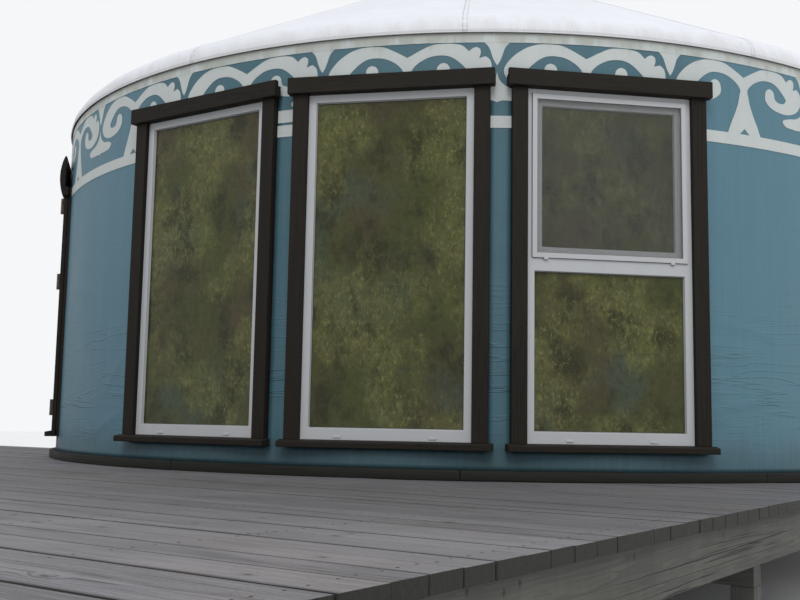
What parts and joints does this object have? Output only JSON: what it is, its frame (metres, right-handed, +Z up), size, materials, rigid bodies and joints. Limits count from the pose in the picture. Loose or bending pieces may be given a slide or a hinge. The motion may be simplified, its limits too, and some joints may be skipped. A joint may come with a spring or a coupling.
{
  "type": "yurt on a timber terrace",
  "caption": "Round lattice-walled yurt with a teal canvas wall, ornamented frieze, tall glazed windows and a hinged timber door, on a raised timber terrace.",
  "frame": {"origin": "on the ground, at the middle of the foot of the post under the yurt's upright axis", "axes": "+X along the deck boards towards their sawn ends, +Y from the terrace to the back of the yurt, +Z up"},
  "size_m": [7.49, 9.14, 4.3234],
  "materials": {
    "weathered_timber": "weathered, bare",
    "deck_boards": "weathered, bare",
    "dark_timber": "dark brown stain",
    "floor_boards": "oiled",
    "pale_timber": "planed, oiled",
    "crown_timber": "red-brown stain",
    "wall_canvas": "coated canvas over felt",
    "roof_canvas": "coated canvas over felt",
    "white_plastic": "satin",
    "window_glass": "clear, reflecting",
    "grey_screen": "grey mesh in a white-coated rim",
    "hinge_iron": "worn brown paint"
  },
  "bodies": {
    "yurt": {"posts": "weathered_timber", "beams": "weathered_timber", "joists": "weathered_timber", "rim_boards": "weathered_timber", "terrace_deck": "deck_boards", "platform_deck": "deck_boards", "curb_ring": "dark_timber", "floor": "floor_boards", "wall_studs": "pale_timber", "wall_window_1": "wall_canvas", "wall_window_2": "wall_canvas", "wall_window_3": "wall_canvas", "wall_at_door": "wall_canvas", "wall_by_door": "wall_canvas", "wall_right": "wall_canvas", "wall_rear": "wall_canvas", "wall_left": "wall_canvas", "lattice_by_door": "pale_timber", "lattice_right": "pale_timber", "lattice_rear": "pale_timber", "lattice_left": "pale_timber", "eave_ring": "pale_timber", "roof_poles": "pale_timber", "crown_ring": "crown_timber", "crown_bars": "crown_timber", "roof_cover": "roof_canvas", "crown_cap": "roof_canvas", "window_linings": "dark_timber", "window_casings": "dark_timber", "window_head_boards": "dark_timber", "window_sills": "dark_timber", "window_1_frame": "white_plastic", "window_2_frame": "white_plastic", "window_3_frame": "white_plastic", "window_glass": "window_glass", "window_3_sash": "white_plastic", "window_3_screen": "grey_screen", "door_jambs": "dark_timber", "door_rails": "dark_timber", "door_casings": "dark_timber", "door_head_board": "dark_timber", "door_threshold": "dark_timber", "door_hinge_posts": "hinge_iron"},
    "door": {"door_leaf": "dark_timber", "door_hinge_straps": "hinge_iron", "door_handle": "hinge_iron"}
  },
  "joints": [
    {"name": "door_hinge", "type": "hinge", "parent": "yurt", "child": "door", "pos_m": [-1.68805, -2.57457, 1.77], "axis": [0, 0, 1], "range_deg": [0, 110]}
  ]
}
